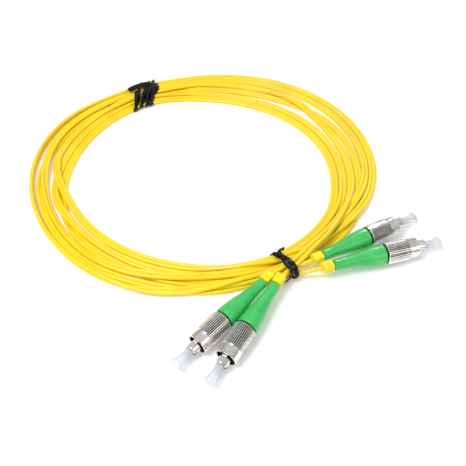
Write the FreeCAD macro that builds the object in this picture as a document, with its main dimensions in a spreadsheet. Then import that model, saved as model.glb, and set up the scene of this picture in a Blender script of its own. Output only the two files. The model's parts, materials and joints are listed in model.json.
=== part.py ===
import FreeCAD, Part
import math
import os
import Sketcher
from FreeCAD import Placement, Rotation, Vector

# A duplex fibre optic patch cord: two 2 mm jackets joined side by side, wound in a loose ring, with
# an FC/APC connector on each of the four ends.  Millimetres, +Z up, the surface it lies on is z = 0.
# The origin is under the middle of the box round the four connectors.

doc = FreeCAD.newDocument("PatchCord")
sheet = doc.addObject("Spreadsheet::Sheet", "Sizes")

# name, value, what it is
SIZES = [
    # The connector's axis runs along X.  X = 0 is the rear face of the coupling nut.
    ("nut_len", 16.0, "coupling nut, whole length"),
    ("nut_od", 10.0, "over the knurl"),
    ("nut_front_od", 9.6, "smooth front collar"),
    ("nut_chamfer", 0.45, "rear end of the nut"),
    ("nut_front_chamfer", 0.2, "front end of the nut"),
    ("knurl_start", 0.7, "rear end of the knurl"),
    ("knurl_end", 11.2, "front end of the knurl"),
    ("knurl_neck_od", 9.1, "turned groove in front of the knurl"),
    ("knurl_neck_len", 0.5, "width of that groove"),
    ("knurl_depth", 0.4, "straight knurl groove"),
    ("knurl_count", 36, "straight knurl grooves round the nut"),
    ("nut_flange_len", 2.6, "inner flange at the rear"),
    ("nut_flange_bore", 6.5, "bore of that flange"),
    ("thread_minor", 7.19, "M8x0.75 inside the nut, crest to crest"),
    ("thread_major", 8.0, "M8x0.75 inside the nut, root to root"),
    ("thread_pitch", 0.75, "M8x0.75"),
    ("thread_start", 7.0, "rear end of the thread inside"),
    ("lead_in_depth", 1.4, "plain bore in front of the thread"),
    ("lead_in_bore", 8.2, "plain bore in front of the thread"),
    ("nut_mouth", 8.7, "countersink at the mouth of the nut"),
    ("collar_start", 3.0, "collar that holds the nut on the front body"),
    ("collar_end", 5.4, "front face of the collar"),
    ("collar_od", 7.0, "collar, running inside the nut"),
    ("barrel_od", 5.3, "keyed barrel that enters the adapter"),
    ("barrel_end", 20.0, "front end of the barrel"),
    ("barrel_mouth", 4.2, "bore round the ferrule at the front"),
    ("mouth_depth", 4.4, "depth of that bore"),
    ("web_len", 1.2, "inner wall that stops the ferrule flange"),
    ("web_bore", 2.9, "hole for the ferrule in that wall"),
    ("chamber_bore", 4.7, "spring chamber inside the barrel"),
    ("key_width", 2.0, "key on top of the barrel"),
    ("key_height", 0.65, "key above the barrel"),
    ("key_len", 5.2, "key, back from the mouth"),
    ("slot_width", 0.9, "slots across the barrel's front end"),
    ("slot_depth", 1.6, "slots, back from the mouth"),
    ("seat_end", 7.3, "front face of the rear body, where the spring sits"),
    ("seat_od", 4.62, "rear body inside the front body"),
    ("rear_collar_od", 6.0, "rear body's shoulder"),
    ("rear_collar_start", -0.3, "rear face of that shoulder"),
    ("stem_start", -8.0, "rear end of the crimp stem"),
    ("stem_od", 3.1, "crimp stem over its ridges"),
    ("stem_root", 2.8, "crimp stem between ridges"),
    ("fibre_bore", 1.7, "way through the rear body"),
    ("crimp_start", -13.6, "rear end of the crimp sleeve"),
    ("crimp_end", -1.2, "front end of the crimp sleeve"),
    ("crimp_od", 4.1, "crimp sleeve over the stem"),
    ("crimp_bore", 3.3, "crimp sleeve over the stem, inside"),
    ("crimp_neck_od", 3.0, "crimp sleeve over the jacket"),
    ("crimp_neck_bore", 2.1, "crimp sleeve over the jacket, inside"),
    ("ferrule_od", 2.5, "standard 2.5 mm ferrule"),
    ("ferrule_start", 11.7, "rear end of the ferrule"),
    ("ferrule_end", 22.5, "tip of the ferrule"),
    ("ferrule_bore", 1.0, "rear bore for the buffered fibre"),
    ("ferrule_bore_len", 7.0, "depth of that bore"),
    ("ferrule_chamfer", 0.5, "chamfer round the tip"),
    ("tip_angle", 8, "angled polish, degrees"),
    ("flange_start", 10.9, "rear face of the ferrule's flange hub"),
    ("flange_shoulder", 12.9, "front of the hub, rear of the flange"),
    ("flange_od", 4.5, "flange"),
    ("flange_hub_od", 3.3, "hub inside the spring"),
    ("flange_notch", 0.8, "notches that key the flange"),
    ("spring_od", 4.5, "ferrule spring, outside"),
    ("spring_wire", 0.45, "spring wire"),
    ("spring_turns", 5, "turns of the spring"),
    ("fibre_od", 0.9, "tight buffered fibre"),
    ("fibre_start", -13.4, "rear end of the buffered fibre, inside the jacket"),
    ("fibre_end", 18.3, "front end of the buffer, in the ferrule"),
    ("boot_len", 24.4, "strain relief boot"),
    ("boot_gap", 0.6, "between boot and nut"),
    ("boot_thin_od", 5.1, "boot's thin end"),
    ("boot_wide_od", 9.6, "boot's wide end"),
    ("boot_bore", 2.1, "boot round the jacket"),
    ("boot_socket_bore", 4.4, "boot over the crimp sleeve"),
    ("boot_socket_len", 13.6, "depth of that socket"),
    ("cap_start", 17.7, "open end of the dust cap, inside the barrel"),
    ("cap_end", 28.4, "closed end of the dust cap"),
    ("cap_od", 3.7, "dust cap's tube"),
    ("cap_bore", 2.56, "dust cap over the ferrule"),
    ("cap_bore_len", 6.2, "depth of the dust cap's bore"),
    ("cap_knob_od", 5.2, "dust cap's flared end"),
    ("cap_knob_len", 1.2, "rim of the dust cap's flared end"),
    ("cap_flare_len", 2.2, "flare behind that rim"),
    ("cap_mouth_taper", 0.25, "chamfer round the open end"),
    ("marker_gap", 0.8, "between boot and marker sleeve"),
    ("marker_len", 4.9, "marker sleeve along the cord"),
    ("marker_width", 4.4, "marker sleeve across the cord"),
    ("marker_height", 4.2, "marker sleeve, thickness"),
    ("marker_bore", 2.1, "marker sleeve round the jacket"),
    ("marker_round", 0.7, "marker sleeve's long edges"),
    ("straight_exit", 7.4, "jacket's straight run behind the boot"),
    ("cord_od", 2.0, "one jacket of the duplex cord"),
    ("jacket_bore", 1.2, "way through the jacket for the fibre"),
    ("jacket_end", -11.8, "front end of the jacket, gripped by the crimp sleeve"),
    ("jacket_joint", -20.4, "where the jacket's straight end meets its curved tail"),
    ("tilt", 3.0, "connectors dip towards their tips, degrees"),
    ("coil_x", -51.1, "middle of the ring"),
    ("coil_y", 79.5, "middle of the ring"),
    ("tie_width", 3.0, "strap of a tie"),
    ("tie_thickness", 0.6, "strap of a tie"),
    ("tie_play", 0.45, "between a tie and the ring, above and below"),
    ("tie_side_play", 1.2, "between a tie and the ring, at the sides"),
]

for row, (alias, number, meaning) in enumerate(SIZES, start=1):
    sheet.set("A%d" % row, meaning)
    sheet.set("B%d" % row, str(number))
    sheet.setAlias("B%d" % row, alias)
doc.recompute()


def size(alias):
    return float(sheet.get(alias))


def value(expression):
    result = sheet.evalExpression(expression)
    return float(getattr(result, "Value", result))


# Where each connector's thin boot end is, from the ring's middle, and the way its tip points (degrees).
CONNECTORS = {
    "a1": (27.9, -76.9, -132.7),
    "a2": (33.4, -78.4, -121.5),
    "b1": (56.0, -61.6, 29.5),
    "b2": (60.4, -67.2, 17.6),
}

# The route of each jacket from its boot into the ring, from the ring's middle: x, y, z.
# Before these points it leaves the boot along the boot's axis.
TAIL_ROUTES = {
    "a1": [(41.9, -64.6, 5.4)],
    "a2": [(42.3, -67.9, 6.2)],
    "b1": [(42.6, -66.2, 3.9)],
    "b2": [(47.6, -69.6, 4.8), (42.9, -68.3, 2.8)],
}

# The ring, anticlockwise: angle, inner radius, outer radius, underside, top.
RING = [
    (-60, 68.4, 81.8, 1.2, 8.6),
    (-45, 67.0, 79.4, 0.5, 7.6),
    (-25, 66.6, 84.8, 0.3, 6.6),
    (0, 62.4, 89.6, 0.3, 6.0),
    (30, 57.4, 91.8, 0.3, 5.8),
    (60, 55.8, 89.4, 0.3, 6.0),
    (90, 56.8, 84.2, 0.3, 6.4),
    (122, 65.6, 78.8, 1.2, 7.8),
    (150, 65.4, 89.8, 0.3, 6.4),
    (180, 68.2, 90.8, 0.3, 6.0),
    (210, 65.4, 86.8, 0.3, 6.2),
    (240, 62.4, 82.8, 0.3, 6.6),
    (270, 63.4, 78.6, 0.3, 7.0),
    (289, 66.2, 76.8, 0.6, 7.0),
]

# Ties: angle on the ring, then each free end's lean from the ring's outward direction and its length.
TIES = {
    "tie_front": (-60, (115, 7.5), (-25, 5.5)),
    "tie_back": (122, (75, 4.0), (8, 5.0)),
}


def frame_of(body, role):
    return next(f for f in body.Origin.OriginFeatures if f.Role == role)


def new_body(name, placement):
    body = doc.addObject("PartDesign::Body", name)
    body.Label = name
    body.Placement = placement
    return body


def new_sketch(body, name, role, offset=Placement()):
    sketch = body.newObject("Sketcher::SketchObject", name)
    sketch.AttachmentSupport = [(frame_of(body, role), "")]
    sketch.MapMode = "FlatFace"
    sketch.AttachmentOffset = offset
    return sketch


def bind(sketch, kind, where, expression):
    """One dimension of a sketch, tied to the sheet."""
    index = sketch.addConstraint(Sketcher.Constraint(kind, *where, value(expression)))
    sketch.setExpression("Constraints[%d]" % index, expression)


def outline(sketch, corners):
    """A closed outline of straight edges through corners given as expressions."""
    first = sketch.GeometryCount
    points = [Vector(value(x), value(y), 0) for x, y in corners]
    count = len(points)
    for i in range(count):
        sketch.addGeometry(Part.LineSegment(points[i], points[(i + 1) % count]))
    for i in range(count):
        following = first + (i + 1) % count
        sketch.addConstraint(Sketcher.Constraint("Coincident", first + i, 2, following, 1))
    for i, (x, y) in enumerate(corners):
        bind(sketch, "DistanceX", (-1, 1, first + i, 1), x)
        bind(sketch, "DistanceY", (-1, 1, first + i, 1), y)


def circle(sketch, x, y, diameter):
    index = sketch.addGeometry(Part.Circle(Vector(value(x), value(y), 0), Vector(0, 0, 1),
                                           value(diameter) / 2))
    bind(sketch, "DistanceX", (-1, 1, index, 3), x)
    bind(sketch, "DistanceY", (-1, 1, index, 3), y)
    bind(sketch, "Diameter", (index,), diameter)


def ellipse(sketch, x, y, half_width, half_height):
    """An ellipse with its long axis along the sketch's X: numbers, in millimetres."""
    centre = Vector(x, y, 0)
    shape = Part.Ellipse(centre + Vector(half_width, 0, 0), centre + Vector(0, half_height, 0), centre)
    index = sketch.addGeometry(shape)
    sketch.addConstraint(Sketcher.Constraint("DistanceX", -1, 1, index, 3, x))
    sketch.addConstraint(Sketcher.Constraint("DistanceY", -1, 1, index, 3, y))


def turned(body, name, corners):
    """A lathe-turned solid: the corners are (x, diameter) expressions."""
    sketch = new_sketch(body, name + "_profile", "XZ_Plane")
    outline(sketch, [(x, "(%s) / 2" % diameter) for x, diameter in corners])
    revolution = body.newObject("PartDesign::Revolution", name)
    revolution.Profile = sketch
    revolution.ReferenceAxis = (sketch, ["H_Axis"])
    revolution.Angle = 360
    body.Tip = revolution
    return revolution


def cut_slot(body, name, corners, depth, plane="YZ_Plane", offset=Placement(), both=False):
    sketch = new_sketch(body, name + "_outline", plane, offset)
    outline(sketch, corners)
    pocket = body.newObject("PartDesign::Pocket", name)
    pocket.Profile = sketch
    pocket.Midplane = both
    pocket.setExpression("Length", depth)
    return pocket


def around_axis(body, name, feature, count):
    pattern = body.newObject("PartDesign::PolarPattern", name)
    pattern.Originals = [feature]
    pattern.Axis = (frame_of(body, "X_Axis"), [""])
    pattern.Angle = 360
    if isinstance(count, str):
        pattern.setExpression("Occurrences", count)
    else:
        pattern.Occurrences = count
    body.Tip = pattern
    return pattern


S = "Sizes."


def coupling_nut(name, place):
    body = new_body(name, place)
    corners = [
        (S + "nut_chamfer", S + "nut_od"),
        (S + "knurl_end", S + "nut_od"),
        (S + "knurl_end + 0.2", S + "knurl_neck_od"),
        (S + "knurl_end + 0.2 + Sizes.knurl_neck_len", S + "knurl_neck_od"),
        (S + "knurl_end + 0.4 + Sizes.knurl_neck_len", S + "nut_front_od"),
        (S + "nut_len - Sizes.nut_front_chamfer", S + "nut_front_od"),
        (S + "nut_len", S + "nut_front_od - 2 * Sizes.nut_front_chamfer"),
        (S + "nut_len", S + "nut_mouth"),
        (S + "nut_len - 0.4", S + "lead_in_bore"),
        (S + "nut_len - Sizes.lead_in_depth", S + "lead_in_bore"),
    ]
    # The thread's ridges are closed rings of the thread's pitch, from the lead-in inwards.
    thread_length = size("nut_len") - size("lead_in_depth") - size("thread_start")
    for ridge in range(int(thread_length / size("thread_pitch"))):
        start = S + "nut_len - Sizes.lead_in_depth - %g * Sizes.thread_pitch" % (ridge + 0.35)
        corners.append((start, S + "thread_minor"))
        corners.append((start + " - 0.15", S + "thread_minor"))
        corners.append((start + " - 0.45", S + "thread_major"))
        corners.append((start + " - 0.5", S + "thread_major"))
    corners += [
        (S + "thread_start - 0.3", S + "thread_major"),
        (S + "thread_start - 0.5", S + "thread_minor"),
        (S + "nut_flange_len", S + "thread_minor"),
        (S + "nut_flange_len", S + "nut_flange_bore"),
        ("0.3", S + "nut_flange_bore"),
        ("0", S + "nut_flange_bore + 0.6"),
        ("0", S + "nut_od - 2 * Sizes.nut_chamfer"),
    ]
    turned(body, name + "_turned", corners)
    groove = cut_slot(body, name + "_groove", [
        ("0 - 0.32", S + "nut_od / 2 + 0.1"),
        ("0.32", S + "nut_od / 2 + 0.1"),
        ("0.08", S + "nut_od / 2 - Sizes.knurl_depth"),
        ("0 - 0.08", S + "nut_od / 2 - Sizes.knurl_depth"),
    ], S + "knurl_end - Sizes.knurl_start", offset=Placement(Vector(0, 0, size("knurl_start")), Rotation()))
    groove.Reversed = True
    around_axis(body, name + "_knurl", groove, S + "knurl_count")
    return body


def front_body(name, place):
    body = new_body(name, place)
    web_front = S + "barrel_end - Sizes.mouth_depth"
    web_rear = web_front + " - Sizes.web_len"
    turned(body, name + "_turned", [
        (S + "collar_start", S + "collar_od - 0.4"),
        (S + "collar_start + 0.2", S + "collar_od"),
        (S + "collar_end", S + "collar_od"),
        (S + "collar_end", S + "barrel_od"),
        (S + "barrel_end - 0.3", S + "barrel_od"),
        (S + "barrel_end", S + "barrel_od - 0.5"),
        (S + "barrel_end", S + "barrel_mouth"),
        (web_front, S + "barrel_mouth"),
        (web_front, S + "web_bore"),
        (web_rear, S + "web_bore"),
        (web_rear, S + "chamber_bore"),
        (S + "collar_start", S + "chamber_bore"),
    ])
    key = new_sketch(body, name + "_key_outline", "YZ_Plane",
                     Placement(Vector(0, 0, size("barrel_end") - 0.4), Rotation()))
    outline(key, [
        ("0 - Sizes.key_width / 2", S + "barrel_od / 2 - 0.3"),
        (S + "key_width / 2", S + "barrel_od / 2 - 0.3"),
        (S + "key_width / 2", S + "barrel_od / 2 + Sizes.key_height"),
        ("0 - Sizes.key_width / 2", S + "barrel_od / 2 + Sizes.key_height"),
    ])
    ridge = body.newObject("PartDesign::Pad", name + "_key")
    ridge.Profile = key
    ridge.Reversed = True
    ridge.setExpression("Length", S + "key_len")
    slot = cut_slot(body, name + "_slot", [
        (S + "barrel_end - Sizes.slot_depth", "0 - Sizes.slot_width / 2"),
        (S + "barrel_end + 0.5", "0 - Sizes.slot_width / 2"),
        (S + "barrel_end + 0.5", S + "slot_width / 2"),
        (S + "barrel_end - Sizes.slot_depth", S + "slot_width / 2"),
    ], S + "barrel_od + 1", plane="XZ_Plane", both=True)
    body.Tip = slot
    return body


def rear_body(name, place):
    body = new_body(name, place)
    ridge_step = 1.6
    corners = [(S + "stem_start", S + "stem_root")]
    for ridge in range(4):
        start = S + "stem_start + %g" % (0.6 + ridge * ridge_step)
        corners.append((start, S + "stem_root"))
        corners.append((start + " + 0.1", S + "stem_od"))
        corners.append((start + " + 0.9", S + "stem_od"))
        corners.append((start + " + 1.0", S + "stem_root"))
    corners += [
        (S + "rear_collar_start", S + "stem_root"),
        (S + "rear_collar_start", S + "rear_collar_od"),
        (S + "collar_start - 0.02", S + "rear_collar_od"),
        (S + "collar_start - 0.02", S + "seat_od"),
        (S + "seat_end", S + "seat_od"),
        (S + "seat_end", S + "fibre_bore"),
        (S + "stem_start", S + "fibre_bore"),
    ]
    turned(body, name + "_turned", corners)
    return body


def crimp_sleeve(name, place):
    body = new_body(name, place)
    neck = S + "stem_start - 0.6"
    turned(body, name + "_turned", [
        (S + "crimp_start", S + "crimp_neck_od"),
        (neck + " - 1", S + "crimp_neck_od"),
        (neck, S + "crimp_od"),
        (S + "crimp_end", S + "crimp_od"),
        (S + "crimp_end", S + "crimp_bore"),
        (neck, S + "crimp_bore"),
        (neck + " - 1", S + "crimp_neck_bore"),
        (S + "crimp_start", S + "crimp_neck_bore"),
    ])
    return body


def ferrule(name, place):
    body = new_body(name, place)
    turned(body, name + "_turned", [
        (S + "ferrule_start", S + "ferrule_od"),
        (S + "ferrule_end - Sizes.ferrule_chamfer", S + "ferrule_od"),
        (S + "ferrule_end", S + "ferrule_od - 2 * Sizes.ferrule_chamfer"),
        (S + "ferrule_end", "0"),
        (S + "ferrule_start + Sizes.ferrule_bore_len", "0"),
        (S + "ferrule_start + Sizes.ferrule_bore_len - 0.4", S + "ferrule_bore"),
        (S + "ferrule_start", S + "ferrule_bore"),
    ])
    run = S + "ferrule_od * tan(Sizes.tip_angle * 1 deg)"
    polish = cut_slot(body, name + "_polish", [
        (S + "ferrule_end - 0.5 * %s" % run, S + "ferrule_od"),
        (S + "ferrule_end + 1.5 * %s" % run, "0 - Sizes.ferrule_od"),
        (S + "ferrule_end + 2", "0 - Sizes.ferrule_od"),
        (S + "ferrule_end + 2", S + "ferrule_od"),
    ], S + "ferrule_od + 1", plane="XZ_Plane", both=True)
    body.Tip = polish
    return body


def ferrule_flange(name, place):
    body = new_body(name, place)
    web_rear = S + "barrel_end - Sizes.mouth_depth - Sizes.web_len"
    bore = S + "ferrule_od + 0.02"
    turned(body, name + "_turned", [
        (S + "flange_start", S + "flange_hub_od - 0.4"),
        (S + "flange_start + 0.2", S + "flange_hub_od"),
        (S + "flange_shoulder", S + "flange_hub_od"),
        (S + "flange_shoulder", S + "flange_od"),
        (web_rear + " - 0.03", S + "flange_od"),
        (web_rear + " - 0.03", bore),
        (S + "ferrule_start - 0.02", bore),
        (S + "ferrule_start - 0.02", S + "fibre_od + 0.1"),
        (S + "flange_start", S + "fibre_od + 0.1"),
    ])
    notch = cut_slot(body, name + "_notch", [
        ("0 - Sizes.flange_notch / 2", S + "flange_od / 2 - 0.4"),
        (S + "flange_notch / 2", S + "flange_od / 2 - 0.4"),
        (S + "flange_notch / 2", S + "flange_od / 2 + 0.3"),
        ("0 - Sizes.flange_notch / 2", S + "flange_od / 2 + 0.3"),
    ], "4", offset=Placement(Vector(0, 0, size("flange_shoulder") - 1), Rotation()))
    notch.Reversed = True
    around_axis(body, name + "_notches", notch, 4)
    return body


def ferrule_spring(name, place):
    """A round wire wound from the seat on the rear body to the ferrule's flange."""
    wire = size("spring_wire")
    start = size("seat_end") + wire / 2 + 0.05
    end = size("flange_shoulder") - wire / 2 - 0.05
    radius = (size("spring_od") - wire) / 2
    helix = Part.makeHelix((end - start) / size("spring_turns"), end - start, radius)
    section = Part.Wire(Part.makeCircle(wire / 2, Vector(radius, 0, 0), Vector(0, 1, 0)))
    coil = Part.Wire(helix.Edges).makePipeShell([section], True, True)
    coil.Placement = Placement(Vector(start, 0, 0), Rotation(Vector(0, 1, 0), 90))
    feature = doc.addObject("Part::Feature", name)
    feature.Label = name
    feature.Shape = coil
    feature.Placement = place * coil.Placement
    return feature


def buffered_fibre(name, place):
    body = new_body(name, place)
    turned(body, name + "_turned", [
        (S + "fibre_start", "0"),
        (S + "fibre_start", S + "fibre_od"),
        (S + "fibre_end", S + "fibre_od"),
        (S + "fibre_end", "0"),
    ])
    return body


def jacket_end(name, place):
    """The straight end of the jacket, inside the boot and the crimp sleeve."""
    body = new_body(name, place)
    turned(body, name + "_turned", [
        (S + "jacket_joint", S + "cord_od"),
        (S + "jacket_end", S + "cord_od"),
        (S + "jacket_end", S + "jacket_bore"),
        (S + "jacket_joint + 1", S + "jacket_bore"),
        (S + "jacket_joint + 0.6", "0"),
        (S + "jacket_joint", "0"),
    ])
    return body


def boot(name, place):
    body = new_body(name, place)
    rear = "0 - Sizes.boot_gap - Sizes.boot_len"
    front = "0 - Sizes.boot_gap"
    corners = [
        (rear, S + "boot_thin_od - 0.6"),
        (rear + " + 0.3", S + "boot_thin_od"),
    ]
    # The side swells slowly from the thin end, faster in the middle, and levels off at the wide end.
    steps = 12
    for step in range(1, steps + 1):
        share = step / steps
        swell = (1 - math.cos(math.pi * share ** 1.25)) / 2
        corners.append((rear + " + Sizes.boot_len * %g" % round(0.97 * share, 4),
                        S + "boot_thin_od + (Sizes.boot_wide_od - Sizes.boot_thin_od) * %g"
                        % round(swell, 4)))
    corners += [
        (front + " - 0.2", S + "boot_wide_od"),
        (front, S + "boot_wide_od - 0.4"),
        (front, S + "rear_collar_od + 0.4"),
        (front + " - 0.8", S + "rear_collar_od + 0.4"),
        (front + " - 0.8", S + "boot_socket_bore"),
        (front + " - Sizes.boot_socket_len", S + "boot_socket_bore"),
        (front + " - Sizes.boot_socket_len - 1", S + "boot_bore"),
        (rear, S + "boot_bore"),
    ]
    turned(body, name + "_turned", corners)
    return body


def dust_cap(name, place):
    body = new_body(name, place)
    turned(body, name + "_turned", [
        (S + "cap_start", S + "cap_od - 2 * Sizes.cap_mouth_taper"),
        (S + "cap_start + Sizes.cap_mouth_taper", S + "cap_od"),
        (S + "cap_end - Sizes.cap_knob_len - Sizes.cap_flare_len", S + "cap_od"),
        (S + "cap_end - Sizes.cap_knob_len - 0.6 * Sizes.cap_flare_len", S + "cap_od + 0.3"),
        (S + "cap_end - Sizes.cap_knob_len - 0.25 * Sizes.cap_flare_len", S + "cap_od + 0.8"),
        (S + "cap_end - Sizes.cap_knob_len", S + "cap_knob_od"),
        (S + "cap_end - 0.35", S + "cap_knob_od"),
        (S + "cap_end", S + "cap_knob_od - 0.7"),
        (S + "cap_end", "0"),
        (S + "cap_start + Sizes.cap_bore_len", "0"),
        (S + "cap_start + Sizes.cap_bore_len", S + "cap_bore"),
        (S + "cap_start + 0.2", S + "cap_bore"),
        (S + "cap_start", S + "cap_bore + 0.3"),
    ])
    return body


def marker_sleeve(name, place):
    """A squarish sleeve threaded on one jacket, just behind the boot."""
    body = new_body(name, place)
    front = -(size("boot_gap") + size("boot_len") + size("marker_gap"))
    sketch = new_sketch(body, name + "_outline", "YZ_Plane", Placement(Vector(0, 0, front), Rotation()))
    outline(sketch, [
        ("0 - Sizes.marker_width / 2", "0 - Sizes.marker_height / 2"),
        (S + "marker_width / 2", "0 - Sizes.marker_height / 2"),
        (S + "marker_width / 2", S + "marker_height / 2"),
        ("0 - Sizes.marker_width / 2", S + "marker_height / 2"),
    ])
    circle(sketch, "0", "0", S + "marker_bore")
    pad = body.newObject("PartDesign::Pad", name + "_pad")
    pad.Profile = sketch
    pad.Reversed = True
    pad.setExpression("Length", S + "marker_len")
    doc.recompute()
    long_edges = ["Edge%d" % (i + 1) for i, edge in enumerate(pad.Shape.Edges)
                  if edge.Curve.TypeId == "Part::GeomLine" and edge.Length > size("marker_len") - 0.01
                  and abs(edge.tangentAt(edge.FirstParameter).x) > 0.9]
    rounded = body.newObject("PartDesign::Fillet", name + "_rounded")
    rounded.Base = (pad, long_edges)
    rounded.setExpression("Radius", S + "marker_round")
    body.Tip = rounded
    return body


def bent_tube(name, points, diameter):
    """Straight runs joined by tangent arcs, each arc as large as its two runs allow."""
    edges = []
    start = points[0]
    for before, corner, after in zip(points, points[1:], points[2:]):
        back = before - corner
        ahead = after - corner
        turn = math.pi - back.getAngle(ahead)
        reach = 0.45 * min(back.Length, ahead.Length)
        back.normalize()
        ahead.normalize()
        arc_start = corner + back * reach
        arc_end = corner + ahead * reach
        radius = reach / math.tan(turn / 2)
        inward = (back + ahead).normalize()
        middle = corner + inward * (math.hypot(radius, reach) - radius)
        edges.append(Part.LineSegment(start, arc_start).toShape())
        edges.append(Part.Arc(arc_start, middle, arc_end).toShape())
        print("%s: arc radius %.1f, turn %.0f degrees" % (name, radius, math.degrees(turn)))
        start = arc_end
    edges.append(Part.LineSegment(start, points[-1]).toShape())
    path = Part.Wire(edges)
    section = Part.Wire(Part.makeCircle(diameter / 2, points[0], points[1] - points[0]))
    tube = path.makePipeShell([section], True, False)
    expected = math.pi * diameter ** 2 / 4 * path.Length
    print("%s: length %.1f, volume %.2f, section times length %.2f"
          % (name, path.Length, tube.Volume, expected))
    feature = doc.addObject("Part::Feature", name)
    feature.Label = name
    feature.Shape = tube
    return feature


def cord_ring(name):
    """The outer shape of the wound cord: ellipses round the ring, gathered where it is tied."""
    middle = Vector(size("coil_x"), size("coil_y"), 0)
    sections = []
    for number, (angle, inner, outer, under, top) in enumerate(RING):
        upright = Rotation(Vector(0, 0, 1), angle) * Rotation(Vector(1, 0, 0), 90)
        sketch = doc.addObject("Sketcher::SketchObject", "%s_section_%d" % (name, number))
        sketch.Placement = Placement(middle, upright)
        ellipse(sketch, (inner + outer) / 2, (under + top) / 2, (outer - inner) / 2, (top - under) / 2)
        sections.append(sketch)
    ring = doc.addObject("Part::Loft", name)
    ring.Label = name
    ring.Sections = sections
    ring.Solid = True
    ring.Closed = True
    return ring


def tie(name, angle, ends):
    """A plastic strap round the ring, with a twist on top and two free ends."""
    inner, outer, under, top = next(row[1:] for row in RING if row[0] == angle)
    play = size("tie_play")
    thick = size("tie_thickness")
    half_width = (outer - inner) / 2 + size("tie_side_play")
    half_height = (top - under) / 2 + play
    middle = Vector((inner + outer) / 2, 0, (top + under) / 2)
    swing = Rotation(Vector(0, 0, 1), angle)
    place = Placement(Vector(size("coil_x"), size("coil_y"), 0), Rotation()) * Placement(Vector(), swing)
    body = new_body(name, place * Placement(middle, Rotation()))
    sketch = new_sketch(body, name + "_loop_outline", "XZ_Plane")
    ellipse(sketch, 0, 0, half_width + thick, half_height + thick)
    ellipse(sketch, 0, 0, half_width, half_height)
    loop = body.newObject("PartDesign::Pad", name + "_loop")
    loop.Profile = sketch
    loop.Midplane = True
    loop.setExpression("Length", S + "tie_width")
    crown = half_height + thick
    for end, (lean, reach) in enumerate(ends, start=1):
        tail = new_sketch(body, "%s_end_%d_outline" % (name, end), "XZ_Plane")
        along = Vector(math.cos(math.radians(lean)), 0, math.sin(math.radians(lean)))
        across = Vector(-along.z, 0, along.x) * (thick / 2)
        root = Vector(0, 0, crown - thick / 2) if lean > 45 else Vector(half_width + thick / 2, 0, 0)
        tip = root + along * reach
        quad = [root - across, tip - across, tip + across, root + across]
        outline(tail, [("%.4f" % p.x, "%.4f" % p.z) for p in quad])
        strap = body.newObject("PartDesign::Pad", "%s_end_%d" % (name, end))
        strap.Profile = tail
        strap.Midplane = True
        strap.setExpression("Length", S + "tie_width")
        body.Tip = strap
    return body


def connector_place(label):
    """The connector's frame: its X axis points at the tip, its origin is the nut's rear face."""
    thin_x, thin_y, heading = CONNECTORS[label]
    turn = Rotation(Vector(0, 0, 1), heading) * Rotation(Vector(0, 1, 0), size("tilt"))
    forward = turn.multVec(Vector(1, 0, 0))
    rise = math.sin(math.radians(size("tilt")))
    level = math.cos(math.radians(size("tilt")))
    rim = size("nut_front_od") / 2
    rim_height = rim * level + (size("nut_len") - size("nut_front_chamfer")) * rise
    rear_edge_height = size("nut_od") / 2 * level + size("knurl_end") * rise
    rear_face = Vector(size("coil_x") + thin_x, size("coil_y") + thin_y, 0)
    rear_face += Vector(forward.x, forward.y, 0) * (size("boot_len") + size("boot_gap"))
    rear_face.z = max(rim_height, rear_edge_height)
    return Placement(rear_face, turn)


def jacket_tail(name, label, place):
    """The single jacket from the crimp sleeve, out of its boot and into the ring."""
    thin_end = -(size("boot_gap") + size("boot_len"))
    inside = place.multVec(Vector(size("jacket_joint"), 0, 0))
    past_marker = place.multVec(Vector(thin_end - size("straight_exit"), 0, 0))
    route = [inside, past_marker]
    for x, y, z in TAIL_ROUTES[label]:
        route.append(Vector(size("coil_x") + x, size("coil_y") + y, z))
    return bent_tube(name, route, size("cord_od"))


PIECES = [coupling_nut, front_body, rear_body, crimp_sleeve, ferrule, ferrule_flange,
          ferrule_spring, buffered_fibre, jacket_end, boot, dust_cap, marker_sleeve]

nodes = []
for label in CONNECTORS:
    place = connector_place(label)
    for make in PIECES:
        nodes.append(make("%s_%s" % (make.__name__, label), place))
    nodes.append(jacket_tail("jacket_tail_" + label, label, place))
nodes.append(cord_ring("cord_coil"))
for tie_name, (tie_angle, *tie_ends) in TIES.items():
    nodes.append(tie(tie_name, tie_angle, tie_ends))

doc.recompute()
for feature in doc.Objects:
    if "Invalid" in feature.State or "Error" in feature.State:
        raise RuntimeError("%s failed: %s" % (feature.Label, feature.State))
for node in nodes:
    if node.Shape.isNull() or not node.Shape.isValid() or node.Shape.Volume <= 0:
        raise RuntimeError("%s has no valid shape" % node.Label)

os.makedirs("parts", exist_ok=True)
for node in nodes:
    node.Shape.exportStep("parts/%s.step" % node.Label)
    box = node.Shape.BoundBox
    print("%-22s solids %d volume %9.2f  x %.1f..%.1f y %.1f..%.1f z %.2f..%.2f" % (
        node.Label, len(node.Shape.Solids), node.Shape.Volume,
        box.XMin, box.XMax, box.YMin, box.YMax, box.ZMin, box.ZMax))
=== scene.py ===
import json
import math

import bmesh
import bpy
import numpy as np
from mathutils import Matrix, Quaternion, Vector


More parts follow.
